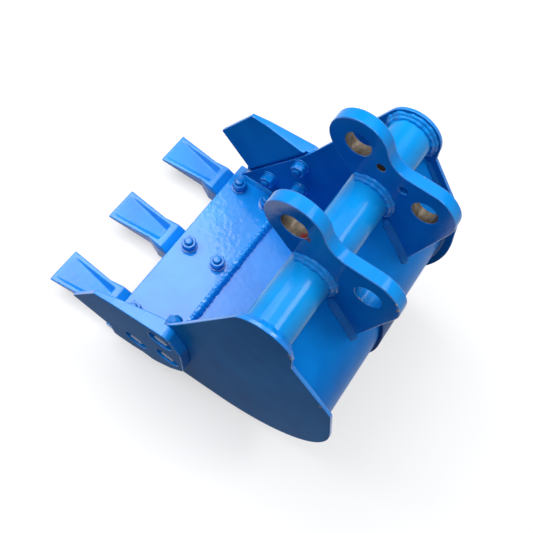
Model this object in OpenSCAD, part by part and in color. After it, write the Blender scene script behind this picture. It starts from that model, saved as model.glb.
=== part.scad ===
// Digging bucket for a small excavator.
// Millimetres. X runs across the bucket, Y from the teeth towards the back of the bucket, Z up.
// The origin is the middle of the stick pin's bore, half way between the two ears.
// The shapes are drawn from the front top edge of the lip plate and moved to the origin at the end.

/* [Shell] */
// Width over the two side plates
bucket_w = 400; // [370:1:470]
// Thickness of the side plates
side_t = 6; // [5:0.5:8]
// Thickness of the bent wrapper plate
wrap_t = 6; // [5:0.5:8]
// Rearmost point of the wrapper, behind the lip's front edge
shell_d = 434; // [421:1:441]
// Outer bend radius of the wrapper at the heel
heel_r = 188; // [170:1:200]
// Outer bend radius of the wrapper at its upper fold
fold_r = 240; // [200:5:250]
// Slope of the upper back wall above the horizontal
back_a = 52; // [48:0.5:56]

/* [Side plates] */
// How far the plates stand below the wrapper
plate_foot = 18; // [14:0.5:22]
// How far the plates stand behind the wrapper at the heel
plate_heel = 19; // [12:1:24]
// How far the plates stand out from the sloping back wall
plate_back = 17; // [10:1:22]
// Radius of the plates' heel
plate_r = 210; // [195:1:215]
// Lean of the plates' rear edge above the heel
plate_lean = 8; // [5:0.5:12]
// Land that the plates leave round the torque tube
tube_land = 13; // [12:0.5:20]
// Rounding of the plates' rear corner
corner_r = 26; // [12:1:40]
// Slope of the lower half of the mouth edge
mouth_a = 55; // [53:0.5:56]
// Length of the lower half of the mouth edge
mouth_l = 241; // [209:1:269]
// Radius of the bend in the mouth edge
mouth_bend = 700; // [300:10:900]

/* [Lip] */
// Depth of the lip plate from front to rear
lip_d = 120; // [110:1:130]
// Thickness of the lip plate
lip_t = 16; // [14:0.5:20]
// Bevel under the front edge of the lip plate
lip_bevel = 5; // [2:0.5:8]
// How far the lip plate stands out beyond the side plates
lip_over = 13; // [8:1:14]
// Front tip of the side plates behind the lip's front edge
plate_tip = 12; // [8:1:16]

/* [Torque tube] */
// Outside diameter of the torque tube
tube_d = 71; // [64:1:76]
// Wall of the torque tube
tube_wall = 8; // [5:0.5:12]
// Tube centre in front of the wrapper's rearmost point
tube_y = 120; // [114:1:126]
// Tube centre above the lip
tube_z = 408; // [403:1:413]
// How far the wrapper's outer face passes behind the tube's centre
tube_set = 8; // [4:0.5:14]

/* [Ears] */
// Bore for the pins
pin_d = 40; // [30:0.5:45]
// Distance between the two pins
pin_c = 132; // [126:1:140]
// Fall of the line from the stick pin to the link pin
pin_a = 26; // [23:0.5:29]
// Stick pin in front of the tube's centre
stick_y = 35; // [30:1:42]
// Stick pin above the tube's centre
stick_z = 95; // [89:1:103]
// Clear gap between the two ears
ear_gap = 130; // [110:1:150]
// Thickness of the ears
ear_t = 20; // [16:0.5:25]
// Radius of the ear round the stick pin
stick_boss_r = 45; // [40:0.5:50]
// Radius of the ear round the link pin
link_boss_r = 46; // [40:0.5:50]
// Radius of the saddle between the two bosses
saddle_r = 40; // [30:1:50]
// Length of the ear along the back wall, below the tube's centre
ear_len = 136; // [125:1:145]
// Diameter of the pin keeper bolt holes in one ear
keeper_d = 13; // [9:0.5:16]

/* [Heel strap] */
// Width of the wear strap round the heel
strap_w = 54; // [40:1:100]
// Thickness of the wear strap
strap_t = 6; // [5:0.5:10]
// Upper end of the strap, in degrees above the heel's centre
strap_up = 37; // [20:1:46]
// Lower end of the strap, in degrees below the heel's centre
strap_a = 68; // [40:1:80]

/* [Teeth] */
// Distance between neighbouring teeth
tooth_pitch = 166; // [150:1:168]
// Reach of the teeth in front of the lip
tooth_reach = 143; // [124:1:164]
// Top of the teeth below the top of the lip
tooth_drop = 10; // [6:1:14]
// Width of the tooth tip
tip_w = 71; // [60:1:76]
// Thickness of the tooth tip
tip_t = 6; // [4:0.5:9]
// Width of the tooth at its waist
waist_w = 53; // [46:1:58]
// Width of the tooth's shank under the lip
shank_w = 66; // [56:1:72]
// Thickness of the shank under the lip
shank_t = 26; // [22:0.5:32]
// How far the tooth's nose stands below the shank
chin = 15; // [10:1:20]
// Length of the shank under the lip
shank_l = 114; // [113:0.5:116]
// Depth of the scoop in the tooth's top at its rear
scoop_h = 13; // [8:0.5:15]
// Width of the rib on each side of the scoop
rib_w = 7; // [5:0.5:9]

/* [Side cutters] */
// Thickness of the cutter outside the side plate
cutter_t = 20; // [16:0.5:24]
// Thickness of the cutter at its tip
cutter_tip = 8; // [5:0.5:12]
// Gap between the plate's mouth edge and the cutter's shoulder
cutter_gap = 5; // [3:0.5:8]
// Counterbore for the cutter's bolt heads
sink_d = 46; // [36:1:48]
// Depth of the counterbores
sink_h = 12; // [11:0.5:13]

/* [Fasteners] */
// Diameter of the bolts
bolt_d = 16; // [12:0.5:16]
// Width of nuts and heads across the flats
nut_af = 26; // [20:0.5:27]
// Height of the nuts
nut_h = 13; // [10:0.5:15]
// Height of the bolt heads
head_h = 10; // [7:0.5:10.5]
// Outside diameter of the flat washers
flat_d = 32; // [28:0.5:33]
// Thickness of the flat washers
flat_t = 3; // [2:0.5:4]
// Outside diameter of the spring washers
spring_d = 26; // [24:0.5:28]
// Thickness of the spring washers
spring_t = 3.5; // [3:0.5:4.5]
// Length of bolt that stands out of its nut
stud_l = 6; // [4:0.5:12]
// First tooth bolt behind the lip's front edge
bolt_y = 27; // [24:1:31]
// Distance between the two bolts of a tooth
bolt_row = 67; // [60:1:68]

/* [Welds] */
// Leg of the bead round the torque tube
tube_bead = 9; // [6:0.5:10]
// Leg of the beads at the foot of the ears
foot_bead = 9; // [6:0.5:11]
// Leg of the beads along the lip
lip_bead = 8; // [5:0.5:9]
// Leg of the seams of the shell
seam_bead = 6; // [4:0.5:7]

/* [Hidden] */

$fn = 72;
// Small clearances: welded butt, bolt in its hole, washer and nut on their bolt
butt = 0.3;
hole_clear = 1;
washer_clear = 1;
nut_clear = 0.2;
eps = 0.01;

// Half widths
half = bucket_w / 2;
inner = half - side_t;
ear_in = ear_gap / 2;
ear_out = ear_in + ear_t;
tube_r = tube_d / 2;

// Back wall: n points out of it, u runs up along it
n = [sin(back_a), cos(back_a)];
u = [-cos(back_a), sin(back_a)];
tube = [shell_d - tube_y, tube_z];
back_k = tube * n + tube_set;
plate_k = back_k + plate_back;
floor_z = -lip_t;
plate_z = floor_z - plate_foot;

// Pins
stick = tube + [-stick_y, stick_z];
link = stick + pin_c * [cos(pin_a), -sin(pin_a)];

// Point where a line from p along d reaches the height k above the back wall's origin
function on_k(p, d, k) = p + d * ((k - p * n) / (d * n));
function unit(v) = v / norm(v);
// Points of an arc round c from angle a to angle b
function arc(c, r, a, b, step = 4) =
    let (m = max(1, ceil(abs(b - a) / step)))
    [for (i = [0:m]) c + r * [cos(a + (b - a) * i / m), sin(a + (b - a) * i / m)]];
// Corner b between a and c, rounded to radius r
function corner(a, b, c, r, step = 4) =
    let (p = unit(a - b), q = unit(c - b), turn = acos(max(-1, min(1, p * q))),
         reach = r / tan(turn / 2), s = b + reach * p, e = b + reach * q,
         m = b + unit(p + q) * (r / sin(turn / 2)),
         a0 = atan2(s[1] - m[1], s[0] - m[0]), a1 = atan2(e[1] - m[1], e[0] - m[0]),
         d = a1 - a0, t = d > 180 ? d - 360 : d < -180 ? d + 360 : d)
    arc(m, r, a0, a0 + t, step);
// Closed outline through the points [y, z, radius]
function rounded(v, step = 6) =
    let (c = len(v))
    [for (i = [0:c - 1])
        let (a = v[(i + c - 1) % c], b = v[i], d = v[(i + 1) % c])
        each b[2] > 0
            ? corner([a[0], a[1]], [b[0], b[1]], [d[0], d[1]], b[2], step)
            : [[b[0], b[1]]]];
// Tangent point on the circle round c, seen from p: s is 1 or -1 for its two sides
function tangent(c, r, p, s) =
    let (d = norm(c - p), a = atan2(p[1] - c[1], p[0] - c[0]), b = acos(r / d))
    c + r * [cos(a + s * b), sin(a + s * b)];

// Puts a drawing of the YZ plane at x and gives it the thickness w towards +X
module slab(x, w) {
    translate([x, 0, 0])
        rotate([90, 0, 90])
            linear_extrude(height = w)
                children();
}

// Moves a shape drawn from the lip's edge to the bucket's origin
module placed() {
    translate([0, -stick[0], -stick[1]])
        children();
}

module both_sides() {
    children();
    mirror([1, 0, 0])
        children();
}

// Wrapper
wrap_back = [shell_d, (back_k - n[0] * shell_d) / n[1]];
wrap_top = tube + n * tube_set;
fold_turn = 90 - back_a;
// The fold's bend ends where the heel's bend begins
fold_bend = min(fold_r, (wrap_back[1] - floor_z - heel_r) / tan(fold_turn / 2));
fold_start = wrap_back + u * fold_bend * tan(fold_turn / 2);
fold_c = fold_start - n * fold_bend;
straight = norm(fold_start - wrap_top);

// Surface of the wrapper moved out by o, from the lip to inside the tube
function wrap_path(o) =
    let (low = [lip_d, floor_z - o], heel = [shell_d + o, floor_z - o],
         fold = [shell_d + o, (back_k + o - n[0] * (shell_d + o)) / n[1]],
         top = wrap_top + n * o)
    concat([low], corner(low, heel, fold, heel_r + o, 3),
           corner(heel, fold, top, fold_bend + o, 4), [top]);
function reversed(v) = [for (i = [len(v) - 1:-1:0]) v[i]];

// Band between two offsets of the wrapper's outer surface
module wrap_band(a, b, gap = 0) {
    difference() {
        polygon(concat(wrap_path(a), reversed(wrap_path(b))));
        translate(tube)
            circle(r = tube_r + gap);
    }
}

module wrapper() {
    color("#1e78d8")
        placed()
            slab(-inner, 2 * inner)
                wrap_band(0, -wrap_t, butt);
}

// Side plates
lean = [-sin(plate_lean), cos(plate_lean)];
heel_back = [shell_d + plate_heel, plate_z + plate_r];
heel_mid = [heel_back[0] - plate_r, heel_back[1]];
lean_touch = heel_mid + plate_r * [cos(plate_lean), sin(plate_lean)];
lean_foot = lean_touch - lean * ((lean_touch[1] - plate_z) / lean[1]);
plate_corner = on_k(lean_touch, lean, plate_k);
land_r = tube_r + tube_land;
land_end = tube + land_r * [cos(4), -sin(4)];
notch_y = land_end[0] + 1;
notch = [notch_y, (plate_k - n[0] * notch_y) / n[1]];
mouth_start = [plate_tip, butt];
mouth_mid = mouth_start + mouth_l * [cos(mouth_a), sin(mouth_a)];
mouth_end = tangent(tube, land_r, mouth_mid, -1);

module plate_outline() {
    polygon(concat(
        [[lip_d + butt, butt], [lip_d + butt, floor_z], [lip_d + 20, plate_z]],
        corner([lip_d + 20, plate_z], lean_foot, plate_corner, plate_r, 3),
        corner(lean_foot, plate_corner, notch, corner_r, 6),
        [notch],
        arc(tube, land_r, -4, atan2(mouth_end[1] - tube[1], mouth_end[0] - tube[0]), 6),
        corner(mouth_end, mouth_mid, mouth_start, mouth_bend, 1),
        [mouth_start]));
}

// Cutter bolts: the first is lowest and foremost
cutter_bolts = [[83, 60], [146, 162], [152, 87]];

module along_x(x, p) {
    translate([x, p[0], p[1]])
        rotate([0, 90, 0])
            children();
}

module side_plate() {
    color("#23508c")
        placed()
            difference() {
                slab(inner, side_t)
                    plate_outline();
                for (p = cutter_bolts)
                    along_x(inner - 1, p)
                        cylinder(d = bolt_d + hole_clear, h = side_t + 2);
            }
}

module side_plate_right() { side_plate(); }
module side_plate_left() { mirror([1, 0, 0]) side_plate(); }

// Lip plate
tooth_x = [-tooth_pitch, 0, tooth_pitch];
bolt_ys = [bolt_y, bolt_y + bolt_row];

module cutting_edge() {
    color("#3c96f0")
        placed()
            difference() {
                slab(-half - lip_over, 2 * (half + lip_over))
                    polygon([[0, -1.5], [1.5, 0], [lip_d - butt, 0], [lip_d - butt, -lip_t],
                             [2 * lip_bevel, -lip_t], [0, lip_bevel - lip_t]]);
                for (x = tooth_x)
                    for (y = bolt_ys)
                        translate([x, y, -lip_t - 1])
                            cylinder(d = bolt_d + hole_clear, h = lip_t + 2);
            }
}

// Torque tube in three lengths
module tube_length(x0, x1) {
    color("#1e8cf0")
        placed()
            along_x(x0, tube)
                difference() {
                    cylinder(r = tube_r, h = x1 - x0);
                    translate([0, 0, -1])
                        cylinder(r = tube_r - tube_wall, h = x1 - x0 + 2);
                }
}

module torque_tube_left() { tube_length(-inner, -ear_out); }
module torque_tube_centre() { tube_length(-ear_in, ear_in); }
module torque_tube_right() { tube_length(ear_out, inner); }

// Ears
ear_foot = wrap_top - u * ear_len;
ear_back = tangent(link, link_boss_r, ear_foot, 1);
saddle_z = link[1] + link_boss_r;
saddle = [stick[0] + sqrt(pow(stick_boss_r + saddle_r, 2) - pow(saddle_z + saddle_r - stick[1], 2)),
          saddle_z + saddle_r];
saddle_touch = stick + unit(saddle - stick) * stick_boss_r;
ear_knee = tube + [-tube_r - 3.5, tube_r - 3.5];
ear_front = stick + stick_boss_r * [cos(215), sin(215)];

module ear_outline() {
    difference() {
        union() {
            translate(stick)
                circle(r = stick_boss_r);
            translate(link)
                circle(r = link_boss_r);
            translate(tube)
                circle(r = tube_r);
            polygon([stick, ear_front, ear_knee, tube, wrap_top, ear_foot - 12 * n, ear_foot, ear_back, link,
                     [link[0], saddle_z], [saddle[0], saddle_z], saddle, saddle_touch]);
        }
        // The foot follows the wrapper
        difference() {
            polygon(concat(wrap_path(0), reversed(wrap_path(-20))));
            translate(tube)
                circle(r = tube_r);
        }
        translate(saddle)
            circle(r = saddle_r);
    }
}

module ear(keepers) {
    color("#0f55aa")
        placed()
            difference() {
                slab(ear_in, ear_t)
                    ear_outline();
                for (p = [stick, link])
                    along_x(ear_in - 1, p)
                        cylinder(d = pin_d, h = ear_t + 2);
                if (keepers)
                    for (i = [1, 2])
                        along_x(ear_in - 1, stick + (link - stick) * i / 3)
                            cylinder(d = keeper_d, h = ear_t + 2);
            }
}

module ear_right() { ear(false); }
module ear_left() { mirror([1, 0, 0]) ear(true); }

// Wear strap round the heel
heel_c = [shell_d - heel_r, floor_z + heel_r];

module heel_strap() {
    color("#0f4182")
        placed()
            slab(-strap_w / 2, strap_w)
                intersection() {
                    polygon(concat(wrap_path(strap_t), reversed(wrap_path(0))));
                    polygon([heel_c, heel_c + 2 * heel_r * [cos(strap_a), -sin(strap_a)],
                             heel_c + 3 * heel_r * [1, -1], heel_c + 3 * heel_r * [1, 0],
                             heel_c + 2 * heel_r * [cos(strap_up), sin(strap_up)]]);
                }
}

// Teeth
shank_top = -lip_t;
shank_low = shank_top - shank_t;
chin_z = shank_low - chin;
tooth_top = -tooth_drop;

// Slab of the tooth across X at y, from z0 to z1
module rib(y, w, z0, z1, w1 = 0, depth = 1) {
    translate([0, y + depth, 0])
        rotate([90, 0, 0])
            linear_extrude(height = depth)
                polygon([[-w / 2, z0], [w / 2, z0], [(w1 > 0 ? w1 : w) / 2, z1],
                         [-(w1 > 0 ? w1 : w) / 2, z1]]);
}

module tooth_nose() {
    waist_y = -0.35 * tooth_reach;
    hull() {
        rib(-tooth_reach, tip_w, tooth_top - tip_t, tooth_top, 0, 2);
        rib(waist_y, waist_w, tooth_top - 25, tooth_top, 0, 2);
    }
    hull() {
        rib(waist_y, waist_w, tooth_top - 25, tooth_top, 0, 3);
        rib(-28, shank_w, chin_z + 2, tooth_top - 10, 0, 6);
        rib(-24, waist_w + 5, tooth_top - 7, tooth_top, 0, 3);
    }
    hull() {
        rib(-28, shank_w, chin_z + 2, tooth_top - 10, 0, 6);
        rib(-24, waist_w + 5, tooth_top - 7, tooth_top, 0, 3);
        rib(-1, shank_w, chin_z, tooth_top - 17, shank_w - 3, 0.7);
    }
}

// Scoop in the top of the nose, deepest at its rounded rear end
module tooth_scoop() {
    y0 = -tooth_reach + 5;
    y1 = -32;
    w0 = tip_w - 2 * rib_w - 5;
    w1 = waist_w - 2 * rib_w;
    hull() {
        rib(y0, w0, tooth_top, tooth_top + 4, 0, 0.5);
        translate([0, y1 - 8, tooth_top - scoop_h + 6])
            rotate([0, 90, 0])
                cylinder(r = 6, h = w1 - 18, center = true, $fn = 24);
        rib(y1 - 12, w1, tooth_top, tooth_top + 4, 0, 10);
    }
}

module tooth() {
    color("#2d87eb")
        placed()
            difference() {
                union() {
                    tooth_nose();
                    translate([0, 0, shank_low])
                        linear_extrude(height = shank_t)
                            polygon(rounded([[-shank_w / 2, -0.6, 0], [shank_w / 2, -0.6, 0],
                                             [shank_w / 2, shank_l, 12], [-shank_w / 2, shank_l, 12]]));
                }
                tooth_scoop();
                for (y = bolt_ys)
                    translate([0, y, shank_low]) {
                        translate([0, 0, -1])
                            cylinder(d = bolt_d + hole_clear, h = shank_t + 2);
                        translate([0, 0, -1])
                            cylinder(d = nut_af * 1.1547 + 4, h = head_h + 2);
                    }
            }
}

module tooth_left() { translate([tooth_x[0], 0, 0]) tooth(); }
module tooth_centre() { translate([tooth_x[1], 0, 0]) tooth(); }
module tooth_right() { translate([tooth_x[2], 0, 0]) tooth(); }

// Side cutters
// Corners of its outline, each a point and its rounding
cutter_tip_low = [-50, 80, 3];
cutter_tip_high = [18, 185, 3];
cutter_crest = [56, 193, 60];
cutter_shoulder = [162, 204, 16];
cutter_back_high = [185, 153, 34];
cutter_back_low = [185, 65, 22];
cutter_heel = [156, 31, 30];
cutter_foot = [116, 5, 22];
cutter_wave = [22, 6, 20];
cutter_toe = [26, 5, 8];
cutter_throat = [26, 43, 2];
cutter_taper = 96;
cutter_edge = cutter_tip_high - cutter_tip_low;
cutter_face = norm([cutter_edge[0], cutter_edge[1]]);
cutter_a = atan2(cutter_edge[1], cutter_edge[0]);

module cutter_outline() {
    polygon(rounded([cutter_tip_low, cutter_tip_high, cutter_crest, cutter_shoulder, cutter_back_high,
                     cutter_back_low, cutter_heel, cutter_foot,
                     [cutter_foot[0] - cutter_wave[0], cutter_foot[1] + cutter_wave[1], cutter_wave[2]],
                     [cutter_foot[0] - 2 * cutter_wave[0], cutter_foot[1], cutter_foot[2]],
                     cutter_toe, cutter_throat], 10));
}

module side_cutter() {
    color("#1964c8")
        placed()
            difference() {
                slab(inner, side_t + cutter_t)
                    cutter_outline();
                // Seat on the side plate, with a gap to its mouth edge
                translate([0, -cutter_gap / sin(mouth_a), 0])
                    slab(inner - 1, side_t + 1)
                        plate_outline();
                slab(inner - 1, side_t + 1)
                    plate_outline();
                // Taper of the inner face towards the tip
                translate([0, cutter_tip_low[0], cutter_tip_low[1]])
                    rotate([cutter_a - 90, 0, 0])
                        translate([0, 0, -cutter_face / 2])
                            linear_extrude(height = 3 * cutter_face)
                                polygon([[inner - 1, -9], [half + cutter_t - cutter_tip + 2, -9],
                                         [inner - 1, cutter_taper]]);
                for (p = cutter_bolts) {
                    along_x(inner, p)
                        cylinder(d = bolt_d + hole_clear, h = side_t + cutter_t + 1);
                    along_x(half + cutter_t - sink_h, p)
                        cylinder(d = sink_d, h = sink_h + 1);
                }
            }
}

module side_cutter_right() { side_cutter(); }
module side_cutter_left() { mirror([1, 0, 0]) side_cutter(); }

// Fasteners, drawn along Z: the joint's outer face is at 0 and the nut goes up
module nut() {
    difference() {
        intersection() {
            cylinder(d = nut_af * 1.1547, h = nut_h, $fn = 6);
            cylinder(d1 = nut_af * 0.98, d2 = nut_af * 0.98 + nut_h * 3.4, h = nut_h);
            translate([0, 0, -nut_h])
                cylinder(d2 = nut_af * 0.98, d1 = nut_af * 0.98 + nut_h * 6.8, h = 2 * nut_h);
        }
        translate([0, 0, -1])
            cylinder(d = bolt_d + nut_clear, h = nut_h + 2);
    }
}

module washer(d, t) {
    difference() {
        cylinder(d = d, h = t);
        translate([0, 0, -1])
            cylinder(d = bolt_d + washer_clear, h = t + 2);
    }
}

// Bolt whose head bears at 0 and whose grip is g
module bolt(g) {
    stack = flat_t + spring_t + nut_h + stud_l;
    translate([0, 0, -head_h])
        cylinder(d = nut_af * 1.1547, h = head_h, $fn = 6);
    cylinder(d = bolt_d, h = g + stack - 1.5);
    translate([0, 0, g + stack - 1.5])
        cylinder(d1 = bolt_d, d2 = bolt_d - 3, h = 1.5);
}

module at_tooth_bolts() {
    placed()
        for (x = tooth_x)
            for (y = bolt_ys)
                translate([x, y, 0])
                    children();
}

module at_cutter_bolts() {
    placed()
        for (p = cutter_bolts)
            translate([inner, p[0], p[1]])
                rotate([0, -90, 0])
                    children();
}

tooth_grip = lip_t + shank_t - head_h - 1;
cutter_grip = side_t + cutter_t - sink_h;

module tooth_bolts() {
    color("#3c8ce6")
        at_tooth_bolts()
            translate([0, 0, -tooth_grip])
                bolt(tooth_grip);
}

module tooth_flat_washers() {
    color("#1464c8")
        at_tooth_bolts()
            washer(flat_d, flat_t);
}

module tooth_spring_washers() {
    color("#0f509b")
        at_tooth_bolts()
            translate([0, 0, flat_t])
                washer(spring_d, spring_t);
}

module tooth_nuts() {
    color("#328ceb")
        at_tooth_bolts()
            translate([0, 0, flat_t + spring_t])
                nut();
}

module cutter_bolts() {
    color("#3c8ce6")
        at_cutter_bolts()
            translate([0, 0, -cutter_grip])
                bolt(cutter_grip);
}

module cutter_washers() {
    color("#1464c8")
        at_cutter_bolts() {
            washer(flat_d, flat_t);
            translate([0, 0, flat_t + eps])
                washer(spring_d, spring_t - eps);
        }
}

module cutter_nuts() {
    color("#328ceb")
        at_cutter_bolts()
            translate([0, 0, flat_t + spring_t])
                nut();
}

module cutter_bolts_right() { cutter_bolts(); }
module cutter_washers_right() { cutter_washers(); }
module cutter_nuts_right() { cutter_nuts(); }
module cutter_bolts_left() { mirror([1, 0, 0]) cutter_bolts(); }
module cutter_washers_left() { mirror([1, 0, 0]) cutter_washers(); }
module cutter_nuts_left() { mirror([1, 0, 0]) cutter_nuts(); }

// Welds
// Two-pass ring bead that lies on the plane x = 0 and on the tube, towards +X
module ring_bead() {
    rotate([0, 90, 0])
        rotate_extrude()
            polygon([[tube_r, 0], [tube_r + tube_bead, 0], [tube_r + tube_bead * 0.93, tube_bead * 0.3],
                     [tube_r + tube_bead * 0.62, tube_bead * 0.5], [tube_r + tube_bead * 0.5, tube_bead * 0.62],
                     [tube_r + tube_bead * 0.3, tube_bead * 0.93], [tube_r, tube_bead]]);
}

// Keeps clear of the wrapper
module off_wrapper() {
    difference() {
        children();
        slab(-half, bucket_w)
            difference() {
                polygon(concat(wrap_path(butt), reversed(wrap_path(-wrap_t - butt))));
                translate(tube)
                    circle(r = tube_r - 1);
            }
    }
}

module tube_ring_welds() {
    color("#1478e1")
        placed()
            both_sides()
                off_wrapper() {
                    translate([inner, tube[0], tube[1]])
                        mirror([1, 0, 0])
                            ring_bead();
                    intersection() {
                        translate([ear_out, tube[0], tube[1]])
                            ring_bead();
                        slab(ear_out, 2 * tube_bead)
                            ear_outline();
                    }
                    intersection() {
                        translate([ear_in, tube[0], tube[1]])
                            mirror([1, 0, 0])
                                ring_bead();
                        slab(ear_in - 2 * tube_bead, 2 * tube_bead)
                            ear_outline();
                    }
                }
}

// Beads on both faces of each ear, along the back wall and past the ear's heel
foot_shape = foot_bead * [[0, 0], [1, 0], [0.8, 0.5], [0.5, 0.8], [0, 1]];

module ear_foot_welds() {
    start = sqrt(pow(tube_r + tube_bead, 2) - pow(tube_set, 2)) + 1;
    past = 8;
    bend = max(1, (ear_len + past - straight) / fold_bend * 180 / PI);
    color("#1469d2")
        placed()
            both_sides()
                for (s = [-1, 1]) {
                    x = s > 0 ? ear_out : ear_in;
                    translate([x, wrap_top[0], wrap_top[1]])
                        rotate([fold_turn, 0, 0])
                            translate([0, 0, -straight])
                                linear_extrude(height = straight - start)
                                    polygon([for (p = foot_shape) [s * p[0], p[1]]]);
                    // Round the wrapper's fold
                    along_x(x, fold_c)
                        rotate([0, 0, 90 + fold_turn - bend])
                            rotate_extrude(angle = bend)
                                polygon([for (p = foot_shape) [fold_bend + p[1], s * p[0]]]);
                }
}

// Bead where the wrapper's outer face meets the tube, between the plates and ears
module tube_seam_weld() {
    gap = tube_bead + 1;
    color("#1e78dc")
        placed()
            for (r = [[-inner + gap, -ear_out - gap], [-ear_in + gap, ear_in - gap],
                      [ear_out + gap, inner - gap]])
                slab(r[0], r[1] - r[0])
                    intersection() {
                        difference() {
                            translate(tube)
                                circle(r = tube_r + seam_bead + 2);
                            translate(tube)
                                circle(r = tube_r + eps);
                        }
                        polygon([wrap_top + n * eps, wrap_top - u * 80 + n * eps,
                                 wrap_top - u * 80 + n * seam_bead, wrap_top + n * seam_bead]);
                    }
}

module lip_rear_weld() {
    drop = lip_t - wrap_t;
    lip_lap = 2;
    color("#4baaff")
        placed()
            slab(-inner, 2 * inner)
                polygon([[lip_d, -drop], [lip_d + lip_bead + 2, -drop], [lip_d + lip_bead, -drop * 0.6],
                         [lip_d + lip_bead * 0.6, -drop * 0.15], [lip_d + 1, 0.8],
                         [lip_d - lip_lap, 0.8], [lip_d - lip_lap, 0], [lip_d, 0]]);
}

module lip_side_welds() {
    color("#288cf0")
        placed()
            both_sides()
                translate([inner, lip_d - lip_bead, 0])
                    rotate([90, 0, 0])
                        linear_extrude(height = lip_d - lip_bead - plate_tip - 4)
                            polygon([[0, 0], [-lip_bead, 0], [-lip_bead * 0.6, lip_bead * 0.4],
                                     [-lip_bead * 0.4, lip_bead * 0.6], [0, lip_bead]]);
}

// Seams along the wrapper, inside and outside the shell
module seam(a, b, start) {
    both_sides()
        slab(inner - seam_bead, seam_bead)
            difference() {
                wrap_band(a, b);
                translate(tube)
                    circle(r = tube_r + tube_bead + 1);
                translate([0, floor_z - lip_d])
                    square([start, 2 * lip_d]);
            }
}

module wrapper_inner_welds() {
    color("#1e78d8")
        placed()
            seam(-wrap_t - eps, -wrap_t - seam_bead, lip_d + lip_bead + 3);
}

module wrapper_outer_welds() {
    color("#1464be")
        placed()
            seam(seam_bead, eps, shell_d - 0.4 * heel_r);
}

side_plate_left();
side_plate_right();
wrapper();
cutting_edge();
torque_tube_left();
torque_tube_centre();
torque_tube_right();
ear_left();
ear_right();
heel_strap();
tooth_left();
tooth_centre();
tooth_right();
side_cutter_left();
side_cutter_right();
tooth_bolts();
tooth_flat_washers();
tooth_spring_washers();
tooth_nuts();
cutter_bolts_left();
cutter_washers_left();
cutter_nuts_left();
cutter_bolts_right();
cutter_washers_right();
cutter_nuts_right();
tube_ring_welds();
ear_foot_welds();
tube_seam_weld();
lip_rear_weld();
lip_side_welds();
wrapper_inner_welds();
wrapper_outer_welds();
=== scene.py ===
"""Digging bucket: paint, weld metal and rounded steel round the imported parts.

The drawing's sizes are millimetres from the middle of the lip plate's front top edge: X across the bucket,
Y from the teeth to the back, Z up. at() moves them to the part's frame, in metres.
"""

import math

import bmesh
import bpy
import numpy as np
from mathutils import Matrix, Vector


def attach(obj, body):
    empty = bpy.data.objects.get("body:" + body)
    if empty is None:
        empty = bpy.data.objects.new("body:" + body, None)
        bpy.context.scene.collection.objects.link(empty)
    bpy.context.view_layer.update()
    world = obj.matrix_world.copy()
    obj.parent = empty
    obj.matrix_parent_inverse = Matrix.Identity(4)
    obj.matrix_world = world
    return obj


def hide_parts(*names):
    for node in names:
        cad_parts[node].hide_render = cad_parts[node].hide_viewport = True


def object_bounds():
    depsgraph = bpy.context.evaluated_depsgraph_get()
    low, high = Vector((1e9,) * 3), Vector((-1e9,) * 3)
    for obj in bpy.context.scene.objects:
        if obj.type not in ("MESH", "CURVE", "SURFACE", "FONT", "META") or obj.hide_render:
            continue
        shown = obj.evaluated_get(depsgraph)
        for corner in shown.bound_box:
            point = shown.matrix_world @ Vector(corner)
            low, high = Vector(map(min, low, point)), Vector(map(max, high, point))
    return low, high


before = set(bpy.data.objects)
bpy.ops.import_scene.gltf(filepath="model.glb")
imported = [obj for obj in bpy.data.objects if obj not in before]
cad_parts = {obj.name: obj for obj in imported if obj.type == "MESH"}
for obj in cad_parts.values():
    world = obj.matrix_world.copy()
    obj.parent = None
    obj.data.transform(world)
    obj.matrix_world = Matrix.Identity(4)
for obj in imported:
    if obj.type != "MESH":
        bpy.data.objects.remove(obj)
cad_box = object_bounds()

MM = 0.001


# Drawing sizes in millimetres; a pair is a place (y, z) in the side view

# Pins. The upper keeper hole lies a third of the way from the stick pin to the link pin
STICK = (279.0, 503.0)
LINK = (397.641, 445.135)
UPPER_KEEPER = (STICK[0] * 2 / 3 + LINK[0] / 3, STICK[1] * 2 / 3 + LINK[1] / 3)
PIN_R, KEEPER_R = 20.0, 6.5
ORIGIN = (0.0,) + STICK

# Ears: both faces from the middle of the bucket, and the length of the foot down the back wall
EAR_IN, EAR_OUT, EAR_LEN = 65.0, 85.0, 136.0

# Side plates' inner face from the middle, and their front tip behind the lip's edge
INNER, PLATE_TIP = 194.0, 12.0

# Wrapper: thickness, depth of the shell, and the bends at the heel and at the fold
WRAP_T, SHELL_D, HEEL_R, FOLD_R = 6.0, 434.0, 188.0, 240.0

# Lip plate
LIP_D, LIP_T = 120.0, 16.0

# Torque tube, and how far the back wall's outer face passes behind its middle
TUBE = np.array([314.0, 408.0])
TUBE_R, TUBE_SET = 35.5, 8.0

# Back wall: its slope from the floor, the way out of it and the way up along it
BACK_A = math.radians(52)
OUT_OF_BACK = np.array([math.sin(BACK_A), math.cos(BACK_A)])
UP_BACK = np.array([-math.cos(BACK_A), math.sin(BACK_A)])

# Fasteners: places, sizes, grips from the bolt's head to the washers, the thread, and a hexagon's width over
# its corners by that over its flats
TOOTH_X = (-166.0, 0.0, 166.0)
TOOTH_BOLT_Y = (27.0, 94.0)
CUTTER_BOLTS = ((83.0, 60.0), (146.0, 162.0), (152.0, 87.0))
BOLT_R, HEAD_H, STUD_L = 8.0, 10.0, 6.0
FLAT_R, FLAT_T = 16.0, 3.0
SPRING_R, SPRING_T = 13.0, 3.5
NUT_AF, NUT_H = 26.0, 13.0
TOOTH_GRIP, CUTTER_GRIP = LIP_T + 26 - HEAD_H - 1, 14.0
THREAD_PITCH, THREAD_DEPTH = 2.0, 0.55
ACROSS_CORNERS = 1.1547


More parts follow.
